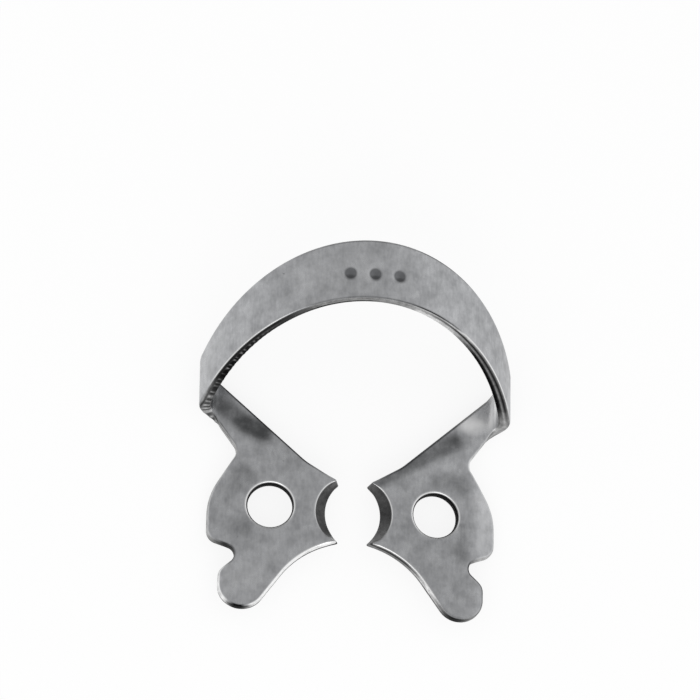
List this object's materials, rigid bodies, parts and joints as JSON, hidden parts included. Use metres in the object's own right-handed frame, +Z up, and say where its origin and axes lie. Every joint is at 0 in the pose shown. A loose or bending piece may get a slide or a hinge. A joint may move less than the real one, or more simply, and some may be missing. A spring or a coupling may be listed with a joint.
{
  "type": "rubber dam clamp",
  "caption": "Bent sheet-steel dental clamp: a leaning bow, pronged jaws with forceps holes, side wings and front lobes. It grips a tooth and holds a rubber dam around it.",
  "frame": {"origin": "below the middle of the tooth seat between the jaws, on the plane where the clamp rests on its wings and folds", "axes": "+Z up towards the top of the tooth and the crown of the bow, +Y from the front lobes towards the bow, +X to the right jaw"},
  "size_m": [0.021, 0.0238, 0.009],
  "materials": {
    "steel": "satin"
  },
  "bodies": {
    "root": {"clamp": "steel"}
  },
  "joints": []
}
